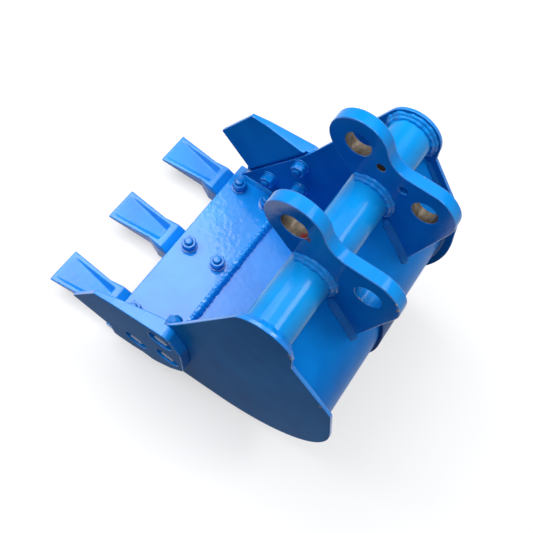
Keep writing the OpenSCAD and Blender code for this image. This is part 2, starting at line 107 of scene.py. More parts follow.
def at(x, y, z):
    """A point of the drawing in the part's frame, in metres."""
    return Vector(((x - ORIGIN[0]) * MM, (y - ORIGIN[1]) * MM, (z - ORIGIN[2]) * MM))


# Materials


def linear(code):
    """The linear colour of an sRGB hex value."""
    parts = [int(code[i:i + 2], 16) / 255 for i in (1, 3, 5)]
    return tuple(c / 12.92 if c <= 0.04045 else ((c + 0.055) / 1.055) ** 2.4 for c in parts) + (1.0,)


def add(tree, kind, links=(), out=0, **settings):
    """Adds a node with its settings and its inputs, sockets or values, and gives back one of its outputs."""
    node = tree.nodes.new(kind)
    for name, value in settings.items():
        setattr(node, name, value)
    for key, value in dict(links).items():
        if isinstance(value, bpy.types.NodeSocket):
            tree.links.new(value, node.inputs[key])
        else:
            node.inputs[key].default_value = value
    return node.outputs[out] if len(node.outputs) else None


def new_material(name):
    """An empty material and its node tree."""
    material = bpy.data.materials.new(name)
    material.use_nodes = True
    material.node_tree.nodes.clear()
    return material, material.node_tree


def blot(tree, coords, place, size):
    """Mask of a ragged spot about place, a point of the drawing; size is its radius in millimetres."""
    noise = add(tree, "ShaderNodeTexNoise", {"Vector": coords, "Scale": 1 / (size * 0.9 * MM), "Detail": 3.0})
    away = add(tree, "ShaderNodeVectorMath", {0: coords, 1: at(*place)}, out="Value", operation="DISTANCE")
    pull = add(tree, "ShaderNodeMath", {0: noise, 1: 0.5}, operation="SUBTRACT")
    reach = add(tree, "ShaderNodeMath", {0: pull, 1: size * 2 * MM, 2: away}, operation="MULTIPLY_ADD")
    return add(tree, "ShaderNodeMapRange", {
        "Value": reach, "From Min": size * MM, "From Max": size * 0.75 * MM})


def coat_colour(tree, coords, colour, deep):
    """The paint's colour, which drifts with the coat's thickness over 110 mm, and a third as much over 25."""
    broad = add(tree, "ShaderNodeTexNoise", {"Vector": coords, "Scale": 1 / (110 * MM), "Detail": 2.0})
    close = add(tree, "ShaderNodeTexNoise", {"Vector": coords, "Scale": 1 / (25 * MM), "Detail": 2.0})
    amount = add(tree, "ShaderNodeMath", {0: close, 1: 0.35, 2: broad}, operation="MULTIPLY_ADD")
    share = add(tree, "ShaderNodeMapRange", {"Value": amount, "From Min": 0.45, "From Max": 0.95})
    return add(tree, "ShaderNodeMixRGB", {"Fac": share, "Color1": linear(colour), "Color2": linear(deep)})


def bare_places(tree, coords, chips, spots):
    """Mask of bare steel: chips of 2 to 6 mm along the edges, and spots. None where there are neither."""
    bare = None
    if chips:
        edge = add(tree, "ShaderNodeAttribute", out="Fac", attribute_name="edge")
        grit = add(tree, "ShaderNodeTexNoise", {"Vector": coords, "Scale": 1 / (9 * MM), "Detail": 4.0})
        worn = add(tree, "ShaderNodeMath", {0: grit, 1: edge}, operation="MULTIPLY")
        bare = add(tree, "ShaderNodeMapRange", {
            "Value": worn, "From Min": 0.72 - chips, "From Max": 0.75 - chips})
    for place, size in spots:
        spot = blot(tree, coords, place, size)
        bare = spot if bare is None else add(tree, "ShaderNodeMath", {0: bare, 1: spot}, operation="MAXIMUM")
    return bare


def relief(tree, coords, wave, peel, sand, bare):
    """The coat's normal: waves 11 mm wide, orange peel of 3 mm cells, the grit of a sand mould or a flame
    cut, and bare places sunk by the thickness of the paint."""
    bumps = []
    for width, detail, height in ((11, 1.0, wave), (3, 0.0, peel), (5, 3.0, sand)):
        if height:
            grain = add(tree, "ShaderNodeTexNoise", {
                "Vector": coords, "Scale": 1 / (width * MM), "Detail": detail})
            bumps.append((grain, height, False))
    if bare is not None:
        bumps.append((bare, 0.25, True))
    below = {}
    for pattern, height, sunk in bumps:
        normal = add(tree, "ShaderNodeBump", {
            "Height": pattern, "Strength": 1.0, "Distance": height * MM, **below}, invert=sunk)
        below = {"Normal": normal}
    return normal


def enamel(name, colour, deep, roughness=0.2, gloss=0.5, peel=0.05, wave=0.16, chips=0.0, sand=0.0, spots=(),
           smears=()):
    """Sprayed gloss enamel on steel: one clean colour with a fine orange peel and long, shallow waves from
    the thick coat, which break up the reflections, and on the edges a few chips down to the steel.

    gloss is the specular level, lower where the coat went on thin and dull. peel, wave and sand are heights
    in millimetres. spots are chips (place, size) and smears (place, size, hex) are other paint."""
    material, tree = new_material(name)
    coords = add(tree, "ShaderNodeTexCoord", out="Object")
    shade = coat_colour(tree, coords, colour, deep)
    for place, size, other in smears:
        shade = add(tree, "ShaderNodeMixRGB", {
            "Fac": blot(tree, coords, place, size), "Color1": shade, "Color2": linear(other)})
    bare = bare_places(tree, coords, chips, spots)
    if bare is not None:
        shade = add(tree, "ShaderNodeMixRGB", {"Fac": bare, "Color1": shade, "Color2": linear(BARE_STEEL)})
    surface = add(tree, "ShaderNodeBsdfPrincipled", {
        "Base Color": shade, "Roughness": roughness, "IOR": 1.5, "Specular IOR Level": gloss,
        "Normal": relief(tree, coords, wave, peel, sand, bare)})
    add(tree, "ShaderNodeOutputMaterial", {"Surface": surface})
    return material


def bored_steel(name):
    """Bored mild steel, left bare: grey-brown with a light bloom of rust, rings from the boring tool, blue
    overspray that reaches in from the ear's faces, and red primer that ran into the near stick pin bore."""
    material, tree = new_material(name)
    coords = add(tree, "ShaderNodeTexCoord", out="Object")
    rust = add(tree, "ShaderNodeTexNoise", {
        "Vector": coords, "Scale": 1 / (12 * MM), "Detail": 5.0, "Roughness": 0.65})
    share = add(tree, "ShaderNodeMapRange", {"Value": rust, "From Min": 0.35, "From Max": 0.7})
    shade = add(tree, "ShaderNodeMixRGB", {
        "Fac": share, "Color1": linear("#776d60"), "Color2": linear("#40342a")})
    x = add(tree, "ShaderNodeSeparateXYZ", {"Vector": coords}, out="X")
    # The tool's feed is 0.3 mm; its rings are drawn 1.2 mm apart so that they show
    ring = add(tree, "ShaderNodeMath", {0: x, 1: 2 * math.pi / (1.2 * MM)}, operation="MULTIPLY")
    ring = add(tree, "ShaderNodeMath", {0: ring}, operation="SINE")
    normal = add(tree, "ShaderNodeBump", {"Height": ring, "Strength": 0.5, "Distance": 0.03 * MM})
    # The distance from the middle of the ear's thickness, made ragged, says where the overspray ends
    depth = add(tree, "ShaderNodeMath", {0: x}, operation="ABSOLUTE")
    depth = add(tree, "ShaderNodeMath", {0: depth, 1: (EAR_IN + EAR_OUT) / 2 * MM}, operation="SUBTRACT")
    depth = add(tree, "ShaderNodeMath", {0: depth}, operation="ABSOLUTE")
    ragged = add(tree, "ShaderNodeMath", {0: rust, 1: 6 * MM, 2: depth}, operation="MULTIPLY_ADD")
    spray = add(tree, "ShaderNodeMapRange", {"Value": ragged, "From Min": 13.2 * MM, "From Max": 13.8 * MM})
    metal = add(tree, "ShaderNodeBsdfPrincipled", {
        "Base Color": shade, "Metallic": 0.75, "Roughness": 0.42, "Normal": normal})
    paint = add(tree, "ShaderNodeBsdfPrincipled", {
        "Base Color": linear("#0a64c8"), "Roughness": 0.3, "IOR": 1.5, "Normal": normal})
    both = add(tree, "ShaderNodeMixShader", {"Fac": spray, 1: metal, 2: paint})
    primer = add(tree, "ShaderNodeBsdfPrincipled", {"Base Color": linear(RED_PRIMER), "Roughness": 0.4})
    ran = blot(tree, coords, PRIMER_IN_BORE, PRIMER_SIZE)
    both = add(tree, "ShaderNodeMixShader", {"Fac": ran, 1: both, 2: primer})
    add(tree, "ShaderNodeOutputMaterial", {"Surface": both})
    return material


BLUE, DEEP_BLUE = "#0c8eee", "#0579d8"
# A darker blue for the upright faces: painted shade
SHADED_BLUE, DEEP_SHADED_BLUE = "#0d7fce", "#076bb8"
RED_PRIMER = "#8c1a2a"
BARE_STEEL = "#b3a998"

# Chips (place, size) on the near plate and the near ear, and the primer about the near stick pin bore
PLATE_CHIPS = (((200, 356, 427), 2.5), ((200, 360, 420), 3.0), ((200, 419, 306), 2.5))
EAR_CHIPS = (((85, 433.7, 473.8), 2.5), ((84.5, 438.6, 461), 3.0))
PRIMER_ON_EAR = ((85, 298.5, 495.5), 6, RED_PRIMER)
PRIMER_IN_BORE, PRIMER_SIZE = (81, 293, 489), 6.5

# Gloss enamel on rolled plate: smooth, with the room mirrored in long soft shapes
plate_paint = enamel("gloss_enamel_on_rolled_plate", BLUE, DEEP_BLUE, roughness=0.22, chips=0.02)
wrap_paint = enamel("gloss_enamel_on_bent_plate", BLUE, DEEP_BLUE, roughness=0.2, wave=0.22)

# Upright faces and the wrapper's outside: a thin coat that hardly mirrors, so the blue looks flat. The
# upright faces also get a darker blue, which is painted shade
plate_flank_paint_with_painted_shade = enamel("thin_enamel_with_painted_shade_on_plate_faces", SHADED_BLUE, DEEP_SHADED_BLUE, roughness=0.3,
                           gloss=0.004, spots=PLATE_CHIPS)
wrap_outer_paint = enamel("thin_enamel_on_bent_plate_outside", BLUE, DEEP_BLUE, roughness=0.28, gloss=0.015,
                          wave=0.22)
# The wear strap's darker blue is painted shade
strap_paint_with_painted_shade = enamel("thin_enamel_with_painted_shade_on_wear_strap", "#0a66b8", "#064e92", roughness=0.3, gloss=0.01, chips=0.02)

# Lip: the thickest coat, wet to the eye, with waves that break up what it mirrors
lip_paint = enamel("gloss_enamel_on_lip_plate", "#0f96f0", "#0782e0", roughness=0.1, peel=0.06, wave=0.3,
                   chips=0.01)

# Drawn tube: a clean, bright coat with narrow highlights along it
tube_paint = enamel("gloss_enamel_on_tube", "#0d98e4", "#0884d2", roughness=0.15, gloss=0.16)

# Ears: a deep, even coat on the broad faces, and a brighter one on the faintly rough flame cut edges; the
# broad faces' deeper blue is painted shade
ear_paint_with_painted_shade = enamel("gloss_enamel_with_painted_shade_on_thick_plate", "#0a82dc", "#0468c2", roughness=0.16, chips=0.03,
                   spots=EAR_CHIPS, smears=(PRIMER_ON_EAR,))
rim_paint = enamel("gloss_enamel_on_flame_cut_edges", "#0c90e6", "#0882d8", roughness=0.14, gloss=0.1,
                   chips=0.03, sand=0.04)

# Cast steel keeps the grain of its sand mould under the paint, so its gloss is soft
cast_paint = enamel("gloss_enamel_on_cast_steel", "#1092f0", "#0779dc", roughness=0.24, wave=0.2, sand=0.12)

# Side cutters: thick plate with a little scale left on it, and dull faces in a darker blue, which is painted
# shade
cutter_paint = enamel("gloss_enamel_on_cut_plate", BLUE, DEEP_BLUE, roughness=0.22, chips=0.02, sand=0.06)
cutter_flank_paint_with_painted_shade = enamel("thin_enamel_with_painted_shade_on_cutter_faces", SHADED_BLUE, DEEP_SHADED_BLUE, roughness=0.3,
                            gloss=0.004, sand=0.06)

# Fasteners: small machined faces under wet paint, which sparkle on the lip and stay dark in the counterbores
# A blue a little darker than the plates': painted shade about the nuts
fastener_paint_with_painted_shade = enamel("gloss_enamel_with_painted_shade_over_fasteners", "#0c8ae2", "#0672c8", roughness=0.12, peel=0.08,
                        wave=0.1)
# The cutter bolts' heads: a darker blue still, painted shade in the counterbores
head_paint_with_painted_shade = enamel("thin_enamel_with_painted_shade_over_cutter_bolts", "#0974c8", "#055fae", roughness=0.14, gloss=0.09,
                    peel=0.08, wave=0.1)

# Weld metal: the beads' ripples make the highlights, sharpest on the lip's bead and dull on the outer seams
weld_paint = enamel("gloss_enamel_over_weld_metal", "#0e96ec", "#0678d4", roughness=0.08, gloss=0.14,
                    peel=0.03, wave=0.05)
lip_weld_paint = enamel("wet_look_enamel_over_lip_weld", "#149cf6", "#0a84e4", roughness=0.08, gloss=1.0,
                        peel=0.03, wave=0.05)
# The outer seams and the ears' foot welds: a darker blue than the other welds, painted shade
seam_paint_with_painted_shade = enamel("thin_enamel_with_painted_shade_over_outer_seams", "#0b78ce", "#0563b2", roughness=0.2, gloss=0.06,
                    peel=0.04, wave=0.06)

# Bare bores: the one dark, brownish metal among the blue
bore_steel = bored_steel("bored_mild_steel")


# Plates, tubes and castings


def keep(mesh, name, nodes):
    """Makes a mesh a piece of the bucket that stands for its CAD nodes."""
    piece = bpy.data.objects.new(name, mesh)
    bpy.context.scene.collection.objects.link(piece)
    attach(piece, "root")
    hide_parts(*nodes)
    return piece


def evaluated(mesh, modifiers):
    """The mesh after these modifiers, each a kind with its settings."""
    carrier = bpy.data.objects.new("carrier", mesh)
    bpy.context.scene.collection.objects.link(carrier)
    for kind, settings in modifiers:
        modifier = carrier.modifiers.new(kind.lower(), kind)
        for key, value in settings.items():
            setattr(modifier, key, value)
    bpy.context.view_layer.update()
    result = bpy.data.meshes.new_from_object(carrier.evaluated_get(bpy.context.evaluated_depsgraph_get()))
    bpy.data.objects.remove(carrier)
    return result


def merged(node):
    """A CAD node's mesh with its triangles joined and its flat faces made one."""
    shape = bmesh.new()
    shape.from_mesh(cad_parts[node].data)
    bmesh.ops.remove_doubles(shape, verts=shape.verts, dist=1e-6)
    bmesh.ops.dissolve_limit(shape, angle_limit=math.radians(0.2), verts=shape.verts, edges=shape.edges)
    mesh = bpy.data.meshes.new(node)
    shape.to_mesh(mesh)
    shape.free()
    return mesh


def paint_all(mesh, material):
    """Leaves one material on the mesh, on all its faces."""
    mesh.materials.clear()
    mesh.materials.append(material)
    for face in mesh.polygons:
        face.material_index = 0


def smooth(mesh, angle):
    """Smooth shading, with edges sharp from this angle in degrees."""
    for face in mesh.polygons:
        face.use_smooth = True
    mesh.set_sharp_from_angle(angle=math.radians(angle))


def in_bore(centre, bore):
    """True for a face whose centre lies on the wall of a bore (y, z, radius)."""
    y, z, radius = bore
    return (centre - at(centre.x / MM, y, z)).length < (radius + 0.3) * MM


def steel(node, material, round_mm, outer=None, where=None, bores=()):
    """A plate, bar or tube with its edges rounded. The rounded edges carry the attribute edge for the chips.
    Faces for which where(centre, normal) is true take the material outer, and bores stay bare steel."""
    mesh = merged(node)
    paint_all(mesh, material)
    # The bevel marks its own faces with a second slot
    mesh.materials.append(material)
    mesh = evaluated(mesh, [
        ("BEVEL", {"width": round_mm * MM, "segments": 3, "limit_method": "ANGLE",
                   "angle_limit": math.radians(28), "material": 1, "use_clamp_overlap": False}),
        ("TRIANGULATE", {})])
    worn = np.array([face.material_index for face in mesh.polygons], np.float32)
    mesh.attributes.new("edge", "FLOAT", "FACE").data.foreach_set("value", worn)
    paint_all(mesh, material)
    if where:
        mesh.materials.append(outer)
        for face in mesh.polygons:
            if where(face.center, face.normal):
                face.material_index = 1
    if bores:
        mesh.materials.append(bore_steel)
        bare = len(mesh.materials) - 1
        for face in mesh.polygons:
            if any(in_bore(face.center, bore) for bore in bores):
                face.material_index = bare
    smooth(mesh, 32)
    mesh = evaluated(mesh, [("WEIGHTED_NORMAL", {"keep_sharp": True, "weight": 80})])
    return keep(mesh, node + "_painted", [node])


def cast(node, material, grain_mm, rounds):
    """A casting: the sharp pattern is remeshed finely and smoothed, which rounds its edges and fillets its
    corners."""
    mesh = merged(node)
    mesh = evaluated(mesh, [
        ("REMESH", {"mode": "VOXEL", "voxel_size": grain_mm * MM, "use_smooth_shade": True}),
        ("SMOOTH", {"factor": 0.5, "iterations": rounds})])
    mesh.materials.clear()
    mesh.materials.append(material)
    smooth(mesh, 80)
    return keep(mesh, node + "_painted", [node])


def on_flank(_, normal):
    """True for the broad faces of plates that stand upright, where the coat is thin and the blue is darker:
    painted shade.
    """
    return abs(normal.x) > 0.8


def on_rim(_, normal):
    """True for the flame cut edges of plates that stand upright."""
    return abs(normal.x) < 0.2


def outside_shell(centre, normal):
    """True for the wrapper's faces that look away from a point inside the bucket."""
    inside = at(centre.x / MM, 250, 200)
    return normal.dot(centre - inside) > 0


for side in ("left", "right"):
    steel("side_plate_" + side, plate_paint, 1.2, plate_flank_paint_with_painted_shade, on_flank)
    steel("side_cutter_" + side, cutter_paint, 1.6, cutter_flank_paint_with_painted_shade, on_flank)
steel("wrapper", wrap_paint, 0.8, wrap_outer_paint, outside_shell)
steel("heel_strap", strap_paint_with_painted_shade, 1.0)
steel("cutting_edge", lip_paint, 1.2)
for part in ("left", "centre", "right"):
    steel("torque_tube_" + part, tube_paint, 0.4)
    cast("tooth_" + part, cast_paint, 1.15, 4)
stick_bore, link_bore, keeper_bore = STICK + (PIN_R,), LINK + (PIN_R,), UPPER_KEEPER + (KEEPER_R,)
steel("ear_left", ear_paint_with_painted_shade, 1.6, rim_paint, on_rim, bores=(stick_bore, link_bore, keeper_bore))
steel("ear_right", ear_paint_with_painted_shade, 1.6, rim_paint, on_rim, bores=(stick_bore,))


# Fasteners


def skinned(name, loops, closed, angle=40):
    """The mesh that joins each loop of points to the next. closed joins the last to the first, and otherwise
    both ends get a face."""
    shape = bmesh.new()
    rows = [[shape.verts.new(point) for point in loop] for loop in loops]
    for row, after in zip(rows, rows[1:] + rows[:1] if closed else rows[1:]):
        for i in range(len(row)):
            j = (i + 1) % len(row)
            shape.faces.new((row[i], row[j], after[j], after[i]))
    if not closed:
        shape.faces.new(rows[0])
        shape.faces.new(rows[-1])
    bmesh.ops.recalc_face_normals(shape, faces=shape.faces)
    mesh = bpy.data.meshes.new(name)
    shape.to_mesh(mesh)
    shape.free()
    smooth(mesh, angle)
    return mesh


def turned(name, rings, closed, around=48, angle=40):
    """A turned piece from rings (radius, height) in millimetres; a radius may be a function of the angle."""
    loops = []
    for radius, height in rings:
        loop = []
        for a in (2 * math.pi * i / around for i in range(around)):
            r = (radius(a) if callable(radius) else radius) * MM
            loop.append((r * math.cos(a), r * math.sin(a), height * MM))
        loops.append(loop)
    return skinned(name, loops, closed, angle)


def washer(name, outer, bore, low, high, soft):
    """Flat washer whose rim is rounded by soft."""
    rim = [(outer - soft, low), (outer - 0.3 * soft, low + 0.3 * soft), (outer, low + soft)]
    rim += [(radius, low + high - height) for radius, height in reversed(rim)]
    return turned(name, [(bore, low)] + rim + [(bore, high)], True)


def split_washer(name, outer, bore, low, high):
    """Spring washer, pressed flat, with its slanting split."""
    steps, soft, half_gap, slant = 56, 0.6, math.radians(5), math.radians(7)
    section = [(bore, low), (outer - soft, low), (outer, low + soft)]
    section += [(outer, high - soft), (outer - soft, high), (bore, high)]
    loops = []
    for i in range(steps + 1):
        loop = []
        for r, z in section:
            lean = slant * (2 * (z - low) / (high - low) - 1)
            a = half_gap + 2 * (math.pi - half_gap) * i / steps + lean
            loop.append((r * MM * math.cos(a), r * MM * math.sin(a), z * MM))
        loops.append(loop)
    return skinned(name, loops, False)


def hexagon(flats, limit):
    """Radius of a hexagon at an angle, its corners cut back to limit by the chamfer."""
    def radius(a):
        turn = (a + math.pi / 6) % (math.pi / 3) - math.pi / 6
        return min(flats / 2 / math.cos(turn), limit)
    return radius


def thread(radius, height):
    """Radius of a bolt's thread at an angle, where it has climbed to height."""
    def groove(a):
        return radius - THREAD_DEPTH * (0.5 + 0.5 * math.cos(2 * math.pi * height / THREAD_PITCH - a))
    return groove


def nut(name, flats, bore, low, high):
    """Hexagon nut, chamfered at both ends, with a countersunk bore."""
    corner = flats / 2 * ACROSS_CORNERS
    chamfer = ((0.0, flats * 0.475), (0.5, flats * 0.505), (1.3, corner - 0.55), (2.2, corner - 0.25))
    rings = [(bore + 0.8, low)]
    rings += [(hexagon(flats, limit), low + drop) for drop, limit in chamfer]
    rings += [(hexagon(flats, limit), high - drop) for drop, limit in reversed(chamfer)]
    rings += [(bore + 1.2, high), (bore, high - 1.2), (bore, low + 0.8)]
    return turned(name, rings, True, around=72, angle=24)


def bolt(name, radius, flats, head, grip, thread_from, end):
    """Hexagon bolt whose head bears at -grip. Its thread shows above thread_from, softened by the paint."""
    corner = flats / 2 * ACROSS_CORNERS
    top = -grip - head
    chamfer = ((top, flats * 0.44), (top + 0.25, flats * 0.49), (top + 1.6, corner - 0.5),
               (top + 2.6, corner - 0.2), (-grip, corner - 0.2))
    rings = [(hexagon(flats, limit), height) for height, limit in chamfer]
    rings += [(radius, -grip + 0.01), (radius, thread_from)]
    height, step, chamfered = thread_from, 0.25, end - 1.6
    while height < chamfered:
        height += step
        rings.append((thread(radius, height), height))
    rings += [(radius - 1.0, end - 0.7), (radius - 2.0, end - 0.1), (radius - 2.8, end)]
    return turned(name, rings, False, angle=50)


def joined(name, *meshes):
    """One mesh from several."""
    shape = bmesh.new()
    for mesh in meshes:
        shape.from_mesh(mesh)
    both = bpy.data.meshes.new(name)
    shape.to_mesh(both)
    shape.free()
    return both


def new_tree(name, inputs):
    """A geometry node tree with these inputs, each a name and a kind, and the inputs' sockets."""
    tree = bpy.data.node_groups.new(name, "GeometryNodeTree")
    for title, kind in inputs.items():
        tree.interface.new_socket(title, in_out="INPUT", socket_type="NodeSocket" + kind)
    tree.interface.new_socket("Geometry", in_out="OUTPUT", socket_type="NodeSocketGeometry")
    return tree, tree.nodes.new("NodeGroupInput").outputs


def finished(tree, body, finish):
    """Ends a tree with real geometry in its finish."""
    real = add(tree, "GeometryNodeRealizeInstances", {"Geometry": body})
    done = add(tree, "GeometryNodeSetMaterial", {"Geometry": real, "Material": finish})
    add(tree, "NodeGroupOutput", {"Geometry": done})


def grown(tree, mesh, inputs):
    """The mesh that a geometry node tree makes from mesh, with its inputs by name."""
    carrier = bpy.data.objects.new("carrier", mesh)
    bpy.context.scene.collection.objects.link(carrier)
    modifier = carrier.modifiers.new("nodes", "NODES")
    modifier.node_group = tree
    names = {item.name: item.identifier for item in tree.interface.items_tree if item.in_out == "INPUT"}
    for key, value in inputs.items():
        modifier[names[key]] = value
    bpy.context.view_layer.update()
    result = bpy.data.meshes.new_from_object(carrier.evaluated_get(bpy.context.evaluated_depsgraph_get()))
    carrier.modifiers.remove(modifier)
    bpy.data.objects.remove(carrier)
    return result


def copies_tree():
    """Geometry nodes that set one fastener on every point, turned about its own axis at random."""
    tree, given = new_tree("fasteners_on_points", {
        "Geometry": "Geometry", "Fastener": "Object", "Axis": "Vector", "Turn": "Float", "Seed": "Int",
        "Finish": "Material"})
    fastener = add(tree, "GeometryNodeObjectInfo", {"Object": given["Fastener"]}, out="Geometry")
    lean = add(tree, "FunctionNodeAlignRotationToVector", {"Vector": given["Axis"]}, axis="Z")
    spin = add(tree, "FunctionNodeRandomValue", {2: 0.0, 3: given["Turn"], "Seed": given["Seed"]}, out=1,
               data_type="FLOAT")
    spin = add(tree, "FunctionNodeAxisAngleToRotation", {"Axis": (0, 0, 1), "Angle": spin})
    turn = add(tree, "FunctionNodeRotateRotation", {"Rotation": lean, "Rotate By": spin},
               rotation_space="LOCAL")
    spots = add(tree, "GeometryNodeInstanceOnPoints", {
        "Points": given["Geometry"], "Instance": fastener, "Rotation": turn})
    finished(tree, spots, given["Finish"])
    return tree


FASTENERS = copies_tree()


def set_on(node, template, points, axis, turn, seed, finish=fastener_paint_with_painted_shade):
    """One piece from a fastener's mesh set on the points, in place of a CAD node."""
    pattern = bpy.data.objects.new("pattern", template)
    bpy.context.scene.collection.objects.link(pattern)
    pattern.hide_render = True
    marks = bpy.data.meshes.new("marks")
    marks.from_pydata([at(*p) for p in points], [], [])
    mesh = grown(FASTENERS, marks, {
        "Fastener": pattern, "Axis": axis, "Turn": turn, "Seed": seed, "Finish": finish})
    bpy.data.objects.remove(pattern)
    return keep(mesh, node + "_painted", [node])


stack = FLAT_T + SPRING_T
nut_top = stack + NUT_H
flat_washer = washer("flat_washer", FLAT_R, BOLT_R + 0.5, 0.0, FLAT_T, 0.8)
spring_washer = split_washer("spring_washer", SPRING_R, BOLT_R + 0.5, FLAT_T, stack)
both_washers = joined("both_washers", flat_washer, spring_washer)
hex_nut = nut("hex_nut", NUT_AF, BOLT_R + 0.1, stack, nut_top)
tooth_bolt = bolt("tooth_bolt", BOLT_R, NUT_AF, HEAD_H, TOOTH_GRIP, nut_top - 2, nut_top + STUD_L)
cutter_bolt = bolt("cutter_bolt", BOLT_R, NUT_AF, HEAD_H, CUTTER_GRIP, nut_top - 2, nut_top + STUD_L)

# Spring washers and nuts stop where the wrench left them, so they turn at random
FULL_TURN, SIXTH_TURN = 2 * math.pi, math.pi / 3
tooth_spots = [(x, y, 0.0) for x in TOOTH_X for y in TOOTH_BOLT_Y]
up = (0.0, 0.0, 1.0)
set_on("tooth_bolts", tooth_bolt, tooth_spots, up, 0.0, 1)
set_on("tooth_flat_washers", flat_washer, tooth_spots, up, 0.0, 1)
set_on("tooth_spring_washers", spring_washer, tooth_spots, up, FULL_TURN, 4)
set_on("tooth_nuts", hex_nut, tooth_spots, up, SIXTH_TURN, 7)
for side, sign in (("left", -1), ("right", 1)):
    cutter_spots = [(sign * INNER, y, z) for y, z in CUTTER_BOLTS]
    inwards = (-float(sign), 0.0, 0.0)
    set_on("cutter_bolts_" + side, cutter_bolt, cutter_spots, inwards, 0.0, 1, head_paint_with_painted_shade)
    set_on("cutter_washers_" + side, both_washers, cutter_spots, inwards, FULL_TURN, 11)
    set_on("cutter_nuts_" + side, hex_nut, cutter_spots, inwards, SIXTH_TURN, 15 + sign)


# Welds


# What the bead's points carry: their place on the line, the two ways in which the bead spreads, the metres
# along the line, the share of its length, and the share of the way round the section
CARRIED = {"place": "FLOAT_VECTOR", "leg_a": "FLOAT_VECTOR", "leg_b": "FLOAT_VECTOR", "along": "FLOAT",
           "share": "FLOAT", "turn": "FLOAT"}


def swept_circle(tree, line, step):
    """A circle of 16 points swept along the line, and what its points carry."""
    curve = add(tree, "GeometryNodeMeshToCurve", {"Mesh": line})
    curve = add(tree, "GeometryNodeResampleCurve", {"Curve": curve, "Length": step}, mode="LENGTH")
    place = add(tree, "GeometryNodeInputPosition")
    along = add(tree, "GeometryNodeSplineParameter", out="Length")
    share = add(tree, "GeometryNodeSplineParameter", out="Factor")
    for title, value in (("place", place), ("along", along), ("share", share)):
        curve = add(tree, "GeometryNodeStoreNamedAttribute", {
            "Geometry": curve, "Name": title, "Value": value}, data_type=CARRIED[title], domain="POINT")
    circle = add(tree, "GeometryNodeCurvePrimitiveCircle", {"Resolution": 16, "Radius": 1.0})
    circle = add(tree, "GeometryNodeStoreNamedAttribute", {
        "Geometry": circle, "Name": "turn", "Value": share}, data_type=CARRIED["turn"], domain="POINT")
    body = add(tree, "GeometryNodeCurveToMesh", {
        "Curve": curve, "Profile Curve": circle, "Fill Caps": True})
    carried = {title: add(tree, "GeometryNodeInputNamedAttribute", {"Name": title}, data_type=kind)
               for title, kind in CARRIED.items()}
    return body, carried


def section_shares(tree, turn, flatness):
    """The share of the way over the bead's face, 1 for points inside the metal, and for each leg the reach on
    the face and inside. The first three quarters of the section are the face, the rest runs into the corner
    and back."""
    face_part = 0.75
    face = add(tree, "ShaderNodeMath", {0: turn, 1: face_part}, operation="DIVIDE")
    face = add(tree, "ShaderNodeMath", {0: face, 1: 1.0}, operation="MINIMUM")
    inside = add(tree, "ShaderNodeMath", {0: turn, 1: face_part}, operation="SUBTRACT")
    inside = add(tree, "ShaderNodeMath", {0: inside, 1: 1 / (1 - face_part)}, operation="MULTIPLY")
    inside = add(tree, "ShaderNodeMath", {0: inside, 1: 0.0}, operation="MAXIMUM")
    hidden = add(tree, "ShaderNodeMath", {0: inside, 1: 0.001}, operation="GREATER_THAN")
    angle = add(tree, "ShaderNodeMath", {0: face, 1: math.pi / 2}, operation="MULTIPLY")
    twice = add(tree, "ShaderNodeMath", {0: inside, 1: 2.0}, operation="MULTIPLY")
    legs = []
    for curve, terms in (("COSINE", {0: twice, 1: 1.0}), ("SINE", {0: 1.0, 1: twice})):
        over = add(tree, "ShaderNodeMath", {0: angle}, operation=curve)
        over = add(tree, "ShaderNodeMath", {0: over, 1: 0.0}, operation="MAXIMUM")
        over = add(tree, "ShaderNodeMath", {0: over, 1: flatness}, operation="POWER")
        under = add(tree, "ShaderNodeMath", terms, operation="SUBTRACT")
        under = add(tree, "ShaderNodeMath", {0: under, 1: 0.0}, operation="MAXIMUM")
        legs.append((over, under))
    return face, hidden, legs


def swelling(tree, sample, uneven):
    """How the bead swells and thins over about 20 mm."""
    width = add(tree, "ShaderNodeTexNoise", {"Vector": sample, "Scale": 1 / (20 * MM), "Detail": 2.0})
    width = add(tree, "ShaderNodeMath", {0: width, 1: 0.5}, operation="SUBTRACT")
    return add(tree, "ShaderNodeMath", {0: width, 1: uneven}, operation="MULTIPLY")


def pass_groove(tree, face, depth):
    """The groove between two passes, along the middle of the face: a bell curve."""
    bell = add(tree, "ShaderNodeMath", {0: face, 1: 0.5}, operation="SUBTRACT")
    bell = add(tree, "ShaderNodeMath", {0: bell, 1: 0.14}, operation="DIVIDE")
    bell = add(tree, "ShaderNodeMath", {0: bell, 1: bell}, operation="MULTIPLY")
    bell = add(tree, "ShaderNodeMath", {0: bell, 1: -1.0}, operation="MULTIPLY")
    bell = add(tree, "ShaderNodeMath", {0: 2.718, 1: bell}, operation="POWER")
    return add(tree, "ShaderNodeMath", {0: bell, 1: depth}, operation="MULTIPLY")


